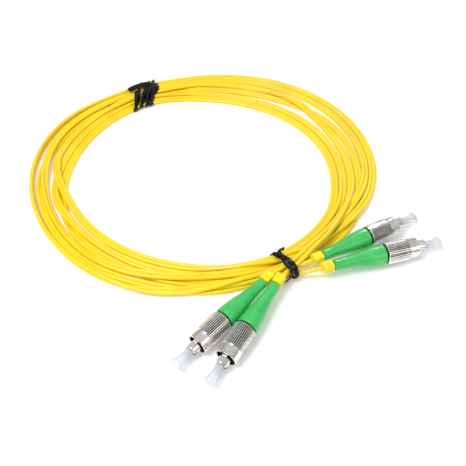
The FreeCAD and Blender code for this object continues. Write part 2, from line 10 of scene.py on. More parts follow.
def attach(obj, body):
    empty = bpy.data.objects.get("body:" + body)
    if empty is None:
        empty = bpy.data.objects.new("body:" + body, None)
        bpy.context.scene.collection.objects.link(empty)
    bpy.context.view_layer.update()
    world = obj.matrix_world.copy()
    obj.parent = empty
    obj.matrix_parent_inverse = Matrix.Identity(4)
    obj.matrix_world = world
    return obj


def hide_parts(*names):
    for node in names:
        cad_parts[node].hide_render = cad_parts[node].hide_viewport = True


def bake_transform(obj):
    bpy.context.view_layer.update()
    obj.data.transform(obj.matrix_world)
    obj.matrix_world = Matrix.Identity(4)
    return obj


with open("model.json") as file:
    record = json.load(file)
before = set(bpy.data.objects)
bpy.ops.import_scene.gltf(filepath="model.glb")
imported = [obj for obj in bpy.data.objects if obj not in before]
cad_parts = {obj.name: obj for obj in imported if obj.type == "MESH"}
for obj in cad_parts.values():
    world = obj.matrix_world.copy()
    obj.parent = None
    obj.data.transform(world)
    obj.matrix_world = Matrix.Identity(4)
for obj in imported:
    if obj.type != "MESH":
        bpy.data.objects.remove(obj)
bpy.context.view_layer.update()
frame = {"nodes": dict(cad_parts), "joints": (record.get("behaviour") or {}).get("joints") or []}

MM = 0.001
CONNECTORS = ("a1", "a2", "b1", "b2")
JOINTS = {joint["name"]: joint for joint in frame["joints"]}

# ---------------------------------------------------------------- camera, floor, lights

VIEW_TARGET = Vector((-36.1, 37.5, 0.0)) * MM
VIEW_DISTANCE = 312 * MM
VIEW_ELEVATION = math.radians(49)
VIEW_FOCAL = 647 / 466 * 36


def make_camera():
    data = bpy.data.cameras.new("camera")
    data.sensor_width = 36
    data.lens = VIEW_FOCAL
    data.clip_start = 0.01
    camera = bpy.data.objects.new("camera", data)
    bpy.context.scene.collection.objects.link(camera)
    back = Vector((0, -math.cos(VIEW_ELEVATION), math.sin(VIEW_ELEVATION)))
    camera.location = VIEW_TARGET + back * VIEW_DISTANCE
    camera.rotation_euler = (math.pi / 2 - VIEW_ELEVATION, 0, 0)
    bpy.context.scene.camera = camera


def make_area_light(name, place, aim, size, power):
    data = bpy.data.lights.new(name, "AREA")
    data.shape = "DISK"
    data.size = size
    data.energy = power
    light = bpy.data.objects.new(name, data)
    bpy.context.scene.collection.objects.link(light)
    light.location = place
    light.rotation_euler = (Vector(aim) - Vector(place)).to_track_quat("-Z", "Y").to_euler()


make_camera()

# ---------------------------------------------------------------- where the cord lies

# The ring's middle, and the ring's edges: angle, inner radius, outer radius (millimetres, degrees).
RING_MIDDLE = (-51.1, 79.5)
RING = [
    (-60, 68.4, 81.8), (-45, 67.0, 79.4), (-25, 67.4, 85.4), (0, 64.4, 90.8), (30, 59.6, 92.8),
    (60, 56.8, 89.8), (90, 56.8, 84.2), (122, 65.6, 78.8), (150, 65.4, 89.8), (180, 68.2, 90.8),
    (210, 64.8, 87.4), (240, 60.8, 84.4), (270, 61.0, 80.6), (289, 65.6, 77.2),
]
CORD = 2.0               # one jacket
PAIR = 2.1               # between the middles of the two joined jackets
TOUCH = 2.2              # between the middles of two jackets that lie against each other
TURNS = 6
STEP = 5                 # degrees between the points of a turn
FIRST = -60              # the turns start at the front tie
BACK_TIE = 122
STATIONS = 360 // STEP
LAST = TURNS * STATIONS

# Where each turn runs across the ring's width, from 0 at the inner edge to 1 at the outer one.
ANCHORS = (-60, -35, -10, 15, 40, 65, 95, 122, 150, 175, 200, 230, 265, 300)
LANES = [
    (.80, .64, .46, .44, .50, .64, .62, .50, .48, .40, .14, .05, .12, .30),
    (.30, .62, .95, .98, .98, .98, .97, 1.10, 1.0, .99, .99, .98, .92, .70),
    (.70, .46, .72, .83, .80, .83, .80, .72, .74, .74, .73, .66, .50, .40),
    (.40, .20, .24, .25, .25, .21, .28, .35, .30, .32, .36, .36, .38, .30),
    (.30, .05, .08, .09, .08, .06, .10, .12, .05, .04, .36, .48, .60, .75),
    (.75, .84, .62, .66, .54, .44, .44, .66, .68, .74, .78, .82, .90, .96),
]
# How far each pair is rolled at the same anchors: 0 lies flat, 90 stands on edge.
ROLLS = [
    (60, 20, 0, 10, 20, 20, 30, 50, 20, 10, 20, 30, 40, 60),
    (60, 40, 10, 0, 0, 10, 30, 60, 85, 90, 88, 70, 50, 60),
    (50, 30, 10, 0, 0, 0, 20, 50, 40, 30, 20, 20, 40, 60),
    (50, 20, 10, 20, 10, 10, 20, 40, 10, 0, 10, 30, 40, 50),
    (40, 10, 0, 10, 10, 0, 20, 40, 10, 20, 30, 20, 40, 50),
    (60, 30, 20, 20, 10, 10, 20, 50, 30, 20, 20, 20, 30, 50),
]
LAYING_ORDER = (4, 3, 5, 1, 2, 0)
TIE_HOLD = 14            # degrees either side of a tie where it gathers the turns
START = ((77.2, 9.4), (80.0, 9.6))       # radius and height of the first two jackets at the front tie
END = ((78.9, 3.6), (80.8, 2.6))         # and of the last two
RISE = (9.4, 9.4, 9.3, 8.4, 7.2)         # the first stations stay this high, over the last turn's jackets
SPLIT = 3                # stations near each end where the two jackets of the pair are already parted
BARE_START = 2           # stations at the start that a jacket's tail stands in for

# How the turns settle: shares are of the way to go in one round, lengths are millimetres.
ROUNDS = 700
LATE = 0.75              # after this share of the rounds the lanes let go
STRAIGHTEN = 0.35
LATE_STRAIGHTEN = 0.28
LANE_PULL = 0.03
SINK = 0.04
LATE_SINK = 0.01
EDGE_PAIR_PULL = 0.5     # a pair on edge keeps to one radius
BAND_PUSH = 0.4          # the ring's edges hold the turns in
CONTACT_PUSH = 0.3
CONTACT_PASSES = 2
LATE_CONTACT_PASSES = 5
FLOOR_GAP = 0.05
TIE_UNDER = 0.95         # what passes under the turns at a tie
BESIDE_TIE = 30          # degrees either side of a tie where the turns may spread wider
WIDER = 2


def at_angles(angles, values, wanted):
    """Values round the ring, eased between anchors."""
    angles, values = np.asarray(angles, float), np.asarray(values, float)
    index = np.clip(np.searchsorted(angles, wanted, side="right") - 1, 0, len(angles) - 2)
    share = (wanted - angles[index]) / (angles[index + 1] - angles[index])
    share = share * share * (3 - 2 * share)
    return values[index] * (1 - share) + values[index + 1] * share


def ring_edges(angle):
    table = RING + [(360 + RING[0][0],) + RING[0][1:]]
    angles = [row[0] for row in table]
    inner = at_angles(angles, [row[1] for row in table], angle)
    outer = at_angles(angles, [row[2] for row in table], angle)
    return inner, outer


def first_lay():
    """Each jacket's radius and height at each station, and how far each pair stands on edge."""
    steps = np.arange(LAST + 1)
    angle = FIRST + (steps % STATIONS) * STEP
    inner, outer = ring_edges(angle.astype(float))
    place = np.zeros((2, LAST + 1, 2))
    stood = np.zeros(LAST + 1)
    for turn in range(TURNS):
        rows = steps // STATIONS == turn
        lane = at_angles(ANCHORS, LANES[turn], angle[rows].astype(float))
        roll = np.radians(at_angles(ANCHORS, ROLLS[turn], angle[rows].astype(float)))
        stood[rows] = np.clip(np.degrees(roll) / 20 - 3, 0, 1)      # from 60 degrees on, whole at 80
        reach = CORD / 2 + PAIR / 2 * np.cos(roll)
        middle = inner[rows] + reach + lane * (outer[rows] - inner[rows] - 2 * reach)
        place[0, rows, 0] = middle - PAIR / 2 * np.cos(roll)
        place[1, rows, 0] = middle + PAIR / 2 * np.cos(roll)
        place[1, rows, 1] = PAIR * np.sin(roll)
    for station in range(STATIONS):
        laid = []
        for turn in LAYING_ORDER:
            n = turn * STATIONS + station
            support = CORD / 2
            for jacket in (0, 1):
                for r, z in laid:
                    gap = abs(place[jacket, n, 0] - r)
                    if gap < TOUCH:
                        support = max(support, z + math.sqrt(TOUCH ** 2 - gap ** 2) - place[jacket, n, 1])
            for jacket in (0, 1):
                place[jacket, n, 1] += support
            laid += [tuple(place[jacket, n]) for jacket in (0, 1)]
    return place, stood


def settle(place, stood):
    """Lets the turns sink, straighten, keep to their pairs and stay out of each other."""
    place[:, 0] = START
    place[:, LAST] = END
    wanted = place[:, :, 0].copy()
    angle = FIRST + (np.arange(LAST + 1) % STATIONS) * STEP
    offset = np.minimum(abs((angle - FIRST + 180) % 360 - 180), abs(angle - BACK_TIE))
    hold = np.clip(1 - offset / TIE_HOLD, 0, 1)
    floor = CORD / 2 + FLOOR_GAP + TIE_UNDER * hold
    floor[:len(RISE)] = RISE
    inner, outer = ring_edges(angle.astype(float))
    near_tie = np.clip(1 - offset / BESIDE_TIE, 0, 1)
    centre, half = (inner + outer) / 2, (outer - inner) / 2 - CORD / 2 + WIDER * near_tie
    crossings = []
    for station in range(STATIONS):
        rows = np.arange(station, LAST + 1, STATIONS)
        mates = np.zeros((2 * len(rows), 2 * len(rows)), bool)
        for i, n in enumerate(rows):
            if SPLIT <= n <= LAST - SPLIT:
                mates[i, i + len(rows)] = mates[i + len(rows), i] = True
        crossings.append((rows, mates))
    for step in range(ROUNDS):
        late = step > ROUNDS * LATE
        smooth = (place[:, :-2] + place[:, 2:]) / 2
        wide = smooth.copy()
        wide[:, 1:-1] = (4 * smooth[:, 1:-1] - (place[:, :-4] + place[:, 4:]) / 2) / 3
        place[:, 1:-1] += (wide - place[:, 1:-1]) * (LATE_STRAIGHTEN if late else STRAIGHTEN)
        if not late:
            place[:, 1:-1, 0] += ((wanted - place[:, :, 0]) * LANE_PULL)[:, 1:-1]
        place[:, 1:-1, 1] -= LATE_SINK if late else SINK
        place[:, :, 0] += (place[:, :, 0].mean(0) - place[:, :, 0]) * stood * EDGE_PAIR_PULL
        out = place[:, :, 0] - centre
        squeeze = np.sign(out) * np.clip(abs(out) - half, 0, None)
        place[:, 1:-1, 0] -= (squeeze * BAND_PUSH)[:, 1:-1]
        for _ in range(LATE_CONTACT_PASSES if late else CONTACT_PASSES):
            for rows, mates in crossings:
                points = place[:, rows].reshape(-1, 2)
                apart = points[:, None] - points[None]
                far = np.hypot(apart[..., 0], apart[..., 1])
                np.fill_diagonal(far, TOUCH)
                push = np.where(mates, PAIR - far, np.clip(TOUCH - far, 0, None))
                move = (apart / far[..., None] * push[..., None]).sum(1) * CONTACT_PUSH
                place[:, rows] = (points + move).reshape(2, len(rows), 2)
            place[:, 0] = START
            place[:, LAST] = END
            place[:, :, 1] = np.maximum(place[:, :, 1], floor)
    return place


def ring_point(radius, height, station):
    angle = math.radians(FIRST + station * STEP)
    return Vector((RING_MIDDLE[0] + radius * math.cos(angle),
                   RING_MIDDLE[1] + radius * math.sin(angle), height)) * MM


# ---------------------------------------------------------------- connector frames

# Along a connector's axis, millimetres.
JOINT_AHEAD = 7.0        # the nut's joint stands this far ahead of its rear face
BOOT_REAR = -25.0
JACKET_JOINT = -20.4     # where the jacket's tail meets its end inside the boot
PAST_MARKER = BOOT_REAR - 7.4


def connector_matrix(label):
    """The connector's own frame: X towards its tip, X = 0 at the nut's rear face."""
    joint = JOINTS["nut_spin_" + label]
    along = Vector(joint["axis"]).normalized()
    side = Vector((0, 0, 1)).cross(along).normalized()
    up = along.cross(side)
    origin = Vector(joint["pos_m"]) - along * JOINT_AHEAD * MM
    turn = Matrix((along, side, up)).transposed().to_4x4()
    return Matrix.Translation(origin) @ turn


PLACES = {label: connector_matrix(label) for label in CONNECTORS}


def on_axis(label, x):
    return PLACES[label] @ Vector((x * MM, 0, 0))


# The jackets between the boots and the ring, from the ring's middle: x, y, z.
TAIL_ROUTES = {
    "a1": [(41.9, -64.6, 5.9)],
    "a2": [(42.3, -67.9, 6.2)],
    "b1": [(42.6, -66.2, 3.9)],
    "b2": [(47.6, -69.6, 4.8), (42.9, -68.3, 2.8)],
}


def from_ring(x, y, z):
    return Vector((RING_MIDDLE[0] + x, RING_MIDDLE[1] + y, z)) * MM


def tail_points(label):
    """From inside a boot to the ring."""
    on_boot = [on_axis(label, JACKET_JOINT), on_axis(label, PAST_MARKER)]
    return on_boot + [from_ring(*place) for place in TAIL_ROUTES[label]]


def jacket_points(jacket, lay):
    start, end = ("a1", "b1") if jacket == 0 else ("a2", "b2")
    turns = [ring_point(*lay[jacket, n], n) for n in range(BARE_START, LAST)]
    return tail_points(start) + turns + tail_points(end)[::-1]


CURVE_STEPS = 4          # steps of a cord's curve for each of its points


def make_cord(name, points, radius):
    data = bpy.data.curves.new(name, "CURVE")
    data.dimensions = "3D"
    data.resolution_u = CURVE_STEPS
    data.bevel_depth = radius
    data.bevel_resolution = 5
    data.use_fill_caps = True
    spline = data.splines.new("NURBS")
    spline.points.add(len(points) - 1)
    for point, place in zip(spline.points, points):
        point.co = (*place, 1)
    spline.order_u = 3
    spline.use_endpoint_u = True
    cord = bpy.data.objects.new(name, data)
    bpy.context.scene.collection.objects.link(cord)
    return cord


def centre_line(cord):
    """Points along a cord's own curve."""
    data = cord.data.copy()
    data.bevel_depth = 0
    data.use_fill_caps = False
    line = bpy.data.objects.new("line", data)
    bpy.context.scene.collection.objects.link(line)
    bpy.context.view_layer.update()
    mesh = bpy.data.meshes.new_from_object(line.evaluated_get(bpy.context.evaluated_depsgraph_get()))
    points = [vertex.co.copy() for vertex in mesh.vertices]
    bpy.data.objects.remove(line)
    bpy.data.curves.remove(data)
    bpy.data.meshes.remove(mesh)
    return points


lay = settle(*first_lay())
cords = [make_cord("jacket_%d" % (jacket + 1), jacket_points(jacket, lay), CORD / 2 * MM)
         for jacket in (0, 1)]
lines = [centre_line(cord) for cord in cords]


# ---------------------------------------------------------------- meshes along a path

def swept(name, places, sides, normals, section, closed=False):
    """A solid whose section, a closed outline of (side, normal) millimetres, follows the places."""
    mesh = bmesh.new()
    rings = []
    for place, side, normal in zip(places, sides, normals):
        rings.append([mesh.verts.new(place + side * (a * MM) + normal * (b * MM)) for a, b in section])
    count = len(section)
    pairs = list(zip(rings, rings[1:])) + ([(rings[-1], rings[0])] if closed else [])
    for ring, after in pairs:
        for i in range(count):
            mesh.faces.new((ring[i], ring[(i + 1) % count], after[(i + 1) % count], after[i]))
    if not closed:
        mesh.faces.new(rings[0][::-1])
        mesh.faces.new(rings[-1])
    bmesh.ops.recalc_face_normals(mesh, faces=mesh.faces)
    data = bpy.data.meshes.new(name)
    mesh.to_mesh(data)
    mesh.free()
    for face in data.polygons:
        face.use_smooth = True
    piece = bpy.data.objects.new(name, data)
    bpy.context.scene.collection.objects.link(piece)
    return piece


WEB_THICK = 1.1
WEB_WAIST = 0.85
WEB_BITE = 0.35          # how far the web runs into each jacket


def make_web():
    """The thin web that joins the two jackets of the pair between the places where they part."""
    lead = len(tail_points("a1")) - BARE_START
    first = (lead + SPLIT + 1) * CURVE_STEPS
    last = (lead + LAST - SPLIT - 1) * CURVE_STEPS
    places, sides, normals = [], [], []
    for i in range(first, last):
        a, b = lines[0][i], lines[1][i]
        side = (b - a).normalized()
        along = (lines[0][i + 1] - lines[0][i - 1]).normalized()
        places.append((a + b) / 2)
        sides.append(side)
        normals.append(along.cross(side).normalized())
    half = PAIR / 2 - CORD / 2 + WEB_BITE
    edge, waist = WEB_THICK / 2, WEB_WAIST / 2
    section = [(-half, -edge), (0, -waist), (half, -edge), (half, edge), (0, waist), (-half, edge)]
    return swept("jacket_web", places, sides, normals, section)


web = make_web()

# ---------------------------------------------------------------- ties

CORE = 0.75              # thickness of a tie's wire core
WING = 0.24              # and of its flat edges
TIE_CLEAR = 0.2          # between a tie and the strands
TIE_ABOVE_FLOOR = 0.03   # the whole ribbon's least height
CORE_ABOVE_FLOOR = 0.04  # and the core's, before the ribbon is rolled
TIE_STEPS = 12           # steps between two points of a tie's route
TIE_SMOOTHING = 6        # passes that ease its line
LEAN_PASSES = 4          # passes that settle how far it leans
TIE_REACH = 15.0         # how far along the bundle from a tie's middle the strands are looked at
TIE_SHARE = 3.0          # and how far from a point of the tie they still hold it off
AROUND = np.radians(np.arange(0, 360, 4))
WAYS = np.stack([np.cos(AROUND), np.sin(AROUND)], 1)         # directions across a bundle


def ribbon_section(width):
    """A flat tie with a round wire down its middle."""
    outline = []
    for side in (1, -1):
        row = [(-width / 2, 0), (-width / 2 + 0.12, WING / 2), (-0.52, WING / 2 + 0.04), (-0.3, CORE * 0.36),
               (0, CORE / 2), (0.3, CORE * 0.36), (0.52, WING / 2 + 0.04), (width / 2 - 0.12, WING / 2)]
        outline += [(x * side, y * side) for x, y in row]
    return outline


def tie_frame(angle):
    turn = math.radians(angle)
    out = Vector((math.cos(turn), math.sin(turn), 0))
    return out, Vector((-math.sin(turn), math.cos(turn), 0)), Vector((0, 0, 1))


def bundle_near(angle):
    """Where the strands run near a tie: distance along the bundle, radius and height."""
    out, along, up = tie_frame(angle)
    found = []
    for line in lines:
        for place in line:
            away = (place - from_ring(0, 0, 0)) / MM
            if abs(away.dot(along)) < TIE_REACH and away.dot(out) > 0:
                found.append((away.dot(along), away.dot(out), away.dot(up)))
    return np.array(found)


def bundle_reach(strands, middle, shift, turn, away):
    """How far from the bundle's middle a line lies that keeps away from the strands near a shift."""
    near = strands[abs(strands[:, 0] - shift) < TIE_SHARE][:, 1:] - middle
    facing = WAYS @ (math.cos(math.radians(turn)), math.sin(math.radians(turn)))
    seen = facing > 0.05
    return (((near @ WAYS[seen].T).max(0) + away) / facing[seen]).min()


def catmull(points, per_span):
    """A smooth line through rows of numbers."""
    rows = [points[0]] + list(points) + [points[-1]]
    found = []
    for a, b, c, d in zip(rows, rows[1:], rows[2:], rows[3:]):
        a, b, c, d = (np.asarray(row, float) for row in (a, b, c, d))
        for k in range(per_span):
            t = k / per_span
            found.append(0.5 * ((2 * b) + (c - a) * t + (2 * a - 5 * b + 4 * c - d) * t * t
                                + (3 * b - a - 3 * c + d) * t ** 3))
    return found + [np.asarray(points[-1], float)]


def make_tie(name, angle, width, route, lean=0.0):
    """A tie from listed points: degrees round the bundle, shift along it, lift off it, roll.

    Lean is how far the loops slide along the bundle for each millimetre towards the ring's middle."""
    strands = bundle_near(angle)
    gathered = strands[abs(strands[:, 0]) < TIE_SHARE][:, 1:]
    middle = (gathered.min(0) + gathered.max(0)) / 2
    out, along, up = tie_frame(angle)
    places, ways = [], []
    path = catmull(route, TIE_STEPS)
    for turn, shift, lift, roll in path:
        reach = 0
        for _ in range(LEAN_PASSES):
            slid = shift - lean * reach * math.cos(math.radians(turn))
            reach = bundle_reach(strands, middle, slid, turn, CORD / 2 + CORE / 2 + TIE_CLEAR + lift)
        way = out * math.cos(math.radians(turn)) + up * math.sin(math.radians(turn))
        r = middle[0] + reach * math.cos(math.radians(turn))
        z = max(middle[1] + reach * math.sin(math.radians(turn)), CORE / 2 + CORE_ABOVE_FLOOR)
        places.append(from_ring(0, 0, 0) + (out * r + up * z + along * slid) * MM)
        ways.append(way)
    for _ in range(TIE_SMOOTHING):
        between = [(a + b * 2 + c) / 4 for a, b, c in zip(places, places[1:], places[2:])]
        places = places[:1] + between + places[-1:]
    sides, normals = [], []
    for i in range(len(places)):
        tangent = (places[min(i + 1, len(places) - 1)] - places[max(i - 1, 0)]).normalized()
        normal = (ways[i] - tangent * ways[i].dot(tangent)).normalized()
        spin = Quaternion(tangent, math.radians(path[i][3]))
        normals.append(spin @ normal)
        sides.append(spin @ tangent.cross(normal))
        low = (width / 2 * abs(sides[-1].z) + CORE / 2 * abs(normals[-1].z) + TIE_ABOVE_FLOOR) * MM
        places[i].z = max(places[i].z, low)
    return swept(name, places, sides, normals, ribbon_section(width))


# Degrees round the bundle (0 outward, 90 up), shift, lift, roll.
FRONT_TIE_ROUTE = [
    (152, 4.2, 0.5, 30), (146, 2.6, 1.0, 20), (138, 1.0, 1.1, 10), (126, 0.4, 0.9, 0), (112, 0.6, 0.9, 0),
    (100, 0.8, 0.9, 0), (88, 0.9, 0.9, 0), (76, 1.4, 0.6, 0), (62, 2.0, 0.1, 0), (44, 2.4, 0, 0),
    (20, 2.4, 0, 0), (-8, 2.1, 0, 0), (-34, 1.6, 0, 0), (-60, 1.0, 0, 0), (-90, 0.5, 0, 0),
    (-140, 0, 0, 0), (-185, -0.5, 0, 0), (-208, -0.9, 0, 0), (-230, -0.8, 0, 0), (-246, -0.1, 0, 0),
    (-260, 0.5, 0, 0), (-272, 0.7, 0, 0),
    (-284, 0.4, 0, 0), (-298, 0.1, 0, 0), (-318, 0.1, 0, 0), (-344, 0, 0, 0), (-364, -0.5, 0.1, 0),
    (-380, -1.7, 0.4, 0), (-390, -3.4, 0.8, 0), (-396, -5.4, 1.0, 0),
]
BACK_TIE_ROUTE = [
    (40, 8.4, 0.8, 50), (42, 6.2, 1.2, 60), (44, 3.4, 1.4, 60), (45, 0.4, 1.4, 60), (46, -2.6, 1.3, 55),
    (48, -5.4, 1.1, 45), (54, -7.6, 0.8, 25), (68, -9.2, 0.4, 10), (90, -9.8, 0.1, 0), (118, -9.6, 0, 0),
    (150, -8.6, 0, 0), (185, -7.4, 0, 0), (235, -6.8, 0, 0), (300, -6.4, 0, 0), (350, -6.2, 0.1, 0),
    (385, -6.3, 0.4, 0), (420, -6.6, 0.45, 0), (450, -6.7, 0.4, 0), (485, -6.1, 0.35, 0), (530, -4.9, 0.3, 0),
    (600, -3.9, 0.2, 0), (660, -3.4, 0.1, 0), (710, -3.2, 0.1, 0), (745, -3.4, 0.15, 0), (785, -3.8, 0.1, 0),
    (820, -3.5, 0, 0), (860, -2.4, 0, 0), (900, -1.2, 0, 0), (960, 0.2, 0, 0), (1020, 1.0, 0, 0),
    (1065, 1.6, 0.2, 0), (1105, 2.0, 0.4, 0), (1140, 2.2, 0.3, 0), (1170, 2.2, 0, 0), (1210, 2.2, 0, 0),
    (1255, 2.4, 0, 0), (1290, 3.0, 0, 0), (1320, 4.0, 0.1, 0),
]
ties = [make_tie("tie_front_wire", FIRST, 2.3, FRONT_TIE_ROUTE),
        make_tie("tie_back_wire", BACK_TIE, 3.5, BACK_TIE_ROUTE, lean=0.6)]

# ---------------------------------------------------------------- materials


def linear(red, green, blue):
    """A colour of 0 to 255 as the shader wants it."""
    def channel(value):
        value /= 255
        return value / 12.92 if value <= 0.04045 else ((value + 0.055) / 1.055) ** 2.4
    return channel(red), channel(green), channel(blue), 1.0


# Where the nut gets painted shade: in its grooves, and in its bore inside NUT_BORE.
GROOVE_DEEP = 4.60       # radius at the bottom of the nut's grooves, millimetres
GROOVE_CREST = 4.84
KNURL_END = 11.2         # along the connector
NUT_BORE = 4.34
EDGE_BLUR = 0.1          # over which a nut's painted shade meets its bright parts


class Finish:
    """A material with helpers for its nodes."""

    def __init__(self, name, **values):
        self.material = bpy.data.materials.new(name)
        self.material.use_nodes = True
        self.nodes = self.material.node_tree.nodes
        self.links = self.material.node_tree.links
        self.shader = self.nodes["Principled BSDF"]
        self.coordinates = self.nodes.new("ShaderNodeTexCoord").outputs["Object"]
        for socket, value in values.items():
            self.shader.inputs[socket.replace("_", " ")].default_value = value

    def mapped(self, rotation, location):
        mapping = self.nodes.new("ShaderNodeMapping")
        mapping.inputs["Rotation"].default_value = rotation
        mapping.inputs["Location"].default_value = location
        self.links.new(self.coordinates, mapping.inputs["Vector"])
        return mapping.outputs["Vector"]

    def scaled(self, vector, factors):
        scaled = self.nodes.new("ShaderNodeVectorMath")
        scaled.operation = "MULTIPLY"
        self.links.new(vector, scaled.inputs[0])
        scaled.inputs[1].default_value = factors
        return scaled.outputs["Vector"]

    def length(self, vector):
        length = self.nodes.new("ShaderNodeVectorMath")
        length.operation = "LENGTH"
        self.links.new(vector, length.inputs[0])
        return length.outputs["Value"]

    def step(self, value, low, high):
        """0 below low, 1 above high."""
        step = self.nodes.new("ShaderNodeMapRange")
        step.inputs["From Min"].default_value = low
        step.inputs["From Max"].default_value = high
        self.links.new(value, step.inputs["Value"])
        return step.outputs["Result"]

    def combine(self, how, first, second):
        combine = self.nodes.new("ShaderNodeMath")
        combine.operation = how
        self.links.new(first, combine.inputs[0])
        self.links.new(second, combine.inputs[1])
        return combine.outputs["Value"]

    def darken(self, lit, least):
        """Paints shade: multiplies the colour by least where lit is 0 and leaves it where lit is 1."""
        base = self.shader.inputs["Base Color"]
        colour = base.links[0].from_socket
        spread = self.nodes.new("ShaderNodeMapRange")
        spread.inputs["To Min"].default_value = least
        self.links.new(lit, spread.inputs["Value"])
        product = self.nodes.new("ShaderNodeVectorMath")
        product.operation = "SCALE"
        self.links.new(colour, product.inputs[0])
        self.links.new(spread.outputs["Result"], product.inputs["Scale"])
        self.links.new(product.outputs["Vector"], base)

    def noise(self, scale, detail=3.0, rough=0.5, vector=None):
        noise = self.nodes.new("ShaderNodeTexNoise")
        noise.inputs["Scale"].default_value = scale
        noise.inputs["Detail"].default_value = detail
        noise.inputs["Roughness"].default_value = rough
        self.links.new(vector or self.coordinates, noise.inputs["Vector"])
        return noise.outputs["Fac"]

    def spread(self, value, low, high):
        """A noise, which lies mostly between 0.3 and 0.7, to a range."""
        spread = self.nodes.new("ShaderNodeMapRange")
        spread.inputs["From Min"].default_value = 0.3
        spread.inputs["From Max"].default_value = 0.7
        spread.inputs["To Min"].default_value = low
        spread.inputs["To Max"].default_value = high
        self.links.new(value, spread.inputs["Value"])
        return spread.outputs["Result"]

    def colours(self, value, *stops):
        ramp = self.nodes.new("ShaderNodeValToRGB")
        elements = ramp.color_ramp.elements
        elements[0].position, elements[0].color = stops[0]
        elements[1].position, elements[1].color = stops[-1]
        for position, colour in stops[1:-1]:
            elements.new(position).color = colour
        self.links.new(value, ramp.inputs["Fac"])
        self.links.new(ramp.outputs["Color"], self.shader.inputs["Base Color"])

    def rough(self, value, low, high):
        self.links.new(self.spread(value, low, high), self.shader.inputs["Roughness"])

    def bump(self, value, height, distance=0.0001):
        bump = self.nodes.new("ShaderNodeBump")
        bump.inputs["Strength"].default_value = height
        bump.inputs["Distance"].default_value = distance
        self.links.new(value, bump.inputs["Height"])
        self.links.new(bump.outputs["Normal"], self.shader.inputs["Normal"])


def jacket_finish():
    """Extruded yellow jacket: even colour, faint draw lines, satin gloss."""
    finish = Finish("jacket_yellow", Specular_IOR_Level=0.5, Coat_Weight=0.25, Coat_Roughness=0.2)
    tone = finish.noise(55, 2)
    finish.colours(tone, (0.3, linear(249, 213, 16)), (0.7, linear(254, 224, 25)))
    finish.rough(finish.noise(700, 3), 0.32, 0.44)
    finish.bump(finish.noise(2400, 4), 0.12, 0.00003)
    return finish.material


def marker_finish():
    """Soft moulded marker sleeve, a lighter and greener yellow."""
    finish = Finish("marker_yellow", Specular_IOR_Level=0.4)
    finish.colours(finish.noise(160, 2), (0.3, linear(248, 224, 30)), (0.7, linear(255, 236, 52)))
    finish.rough(finish.noise(900, 3), 0.42, 0.55)
    finish.bump(finish.noise(1500, 4), 0.2, 0.00005)
    return finish.material


def boot_finish():
    """Green soft plastic boot with a fine moulded skin."""
    finish = Finish("boot_green", Specular_IOR_Level=0.5, Coat_Weight=0.5, Coat_Roughness=0.12)
    finish.colours(finish.noise(120, 3), (0.3, linear(52, 186, 88)), (0.7, linear(66, 204, 102)))
    finish.rough(finish.noise(1300, 4), 0.28, 0.38)
    finish.bump(finish.noise(3000, 5, 0.6), 0.2, 0.00002)
    return finish.material


def nickel_finish(name, label, painted_gap_shade=False, nut=False):
    """Plated turned metal: fine rings round the connector's axis, tarnish, painted shade in the nut's grooves
    and bore, and a copy painted darker as shade for the rear body.
    """
    finish = Finish(name, Metallic=1.0, Anisotropic=0.2)
    inverse = PLACES[label].inverted()
    own = finish.mapped(rotation=tuple(inverse.to_euler()), location=tuple(inverse.translation))
    rings = finish.scaled(own, (30, 1, 1))
    # The darker copy is painted shade, for the rear body seen through the gap behind the nut.
    base = linear(196, 192, 184) if painted_gap_shade else linear(246, 244, 240)
    worn = linear(160, 156, 146) if painted_gap_shade else linear(226, 223, 216)
    finish.colours(finish.noise(260, 4), (0.34, worn), (0.62, base))
    marks = finish.noise(420, 2, vector=rings)
    finish.rough(marks, 0.14, 0.24)
    finish.bump(marks, 0.15, 0.00002)
    if nut:
        # Painted shade: the grooves between the crests and the bore inside the nut are darkened to a tenth,
        # standing in for their shadow.
        across = finish.length(finish.scaled(own, (0, 1, 1)))
        forward = finish.length(finish.scaled(own, (1, 0, 0)))
        crest = finish.step(across, GROOVE_DEEP * MM, GROOVE_CREST * MM)
        collar = finish.step(forward, (KNURL_END - EDGE_BLUR) * MM, (KNURL_END + EDGE_BLUR) * MM)
        outside = finish.step(across, (NUT_BORE - EDGE_BLUR) * MM, NUT_BORE * MM)
        lit = finish.combine("MULTIPLY", finish.combine("MAXIMUM", crest, collar), outside)
        finish.darken(lit, 0.1)
    return finish.material


def zirconia_finish():
    finish = Finish("zirconia", Specular_IOR_Level=0.6, Coat_Weight=0.5, Coat_Roughness=0.05)
    finish.colours(finish.noise(900, 2), (0.3, linear(238, 238, 234)), (0.7, linear(247, 247, 245)))
    finish.rough(finish.noise(1800, 2), 0.1, 0.16)
    return finish.material


def cap_finish():
    """Milky soft polythene, faintly blue, that lets light through."""
    finish = Finish("cap_plastic", Specular_IOR_Level=0.4, Transmission_Weight=0.6,
                    Subsurface_Weight=0.3, Subsurface_Scale=0.0015, IOR=1.3)
    finish.colours(finish.noise(240, 3), (0.3, linear(240, 247, 251)), (0.7, linear(249, 252, 254)))
    finish.rough(finish.noise(900, 3), 0.3, 0.45)
    finish.bump(finish.noise(1600, 3), 0.2, 0.00004)
    return finish.material


def tie_finish():
    """Glossy black plastic over a wire."""
    finish = Finish("tie_black", Specular_IOR_Level=0.2, Coat_Weight=0.3, Coat_Roughness=0.05)
    finish.colours(finish.noise(300, 3), (0.3, linear(4, 4, 5)), (0.7, linear(13, 12, 15)))
    finish.rough(finish.noise(800, 4), 0.1, 0.22)
    finish.bump(finish.noise(900, 3), 0.12, 0.00003)
    return finish.material


def steel_finish():
    finish = Finish("spring_steel", Metallic=1.0)
    finish.colours(finish.noise(700, 3), (0.3, linear(150, 152, 155)), (0.7, linear(192, 194, 196)))
    finish.rough(finish.noise(1500, 3), 0.22, 0.36)
    return finish.material


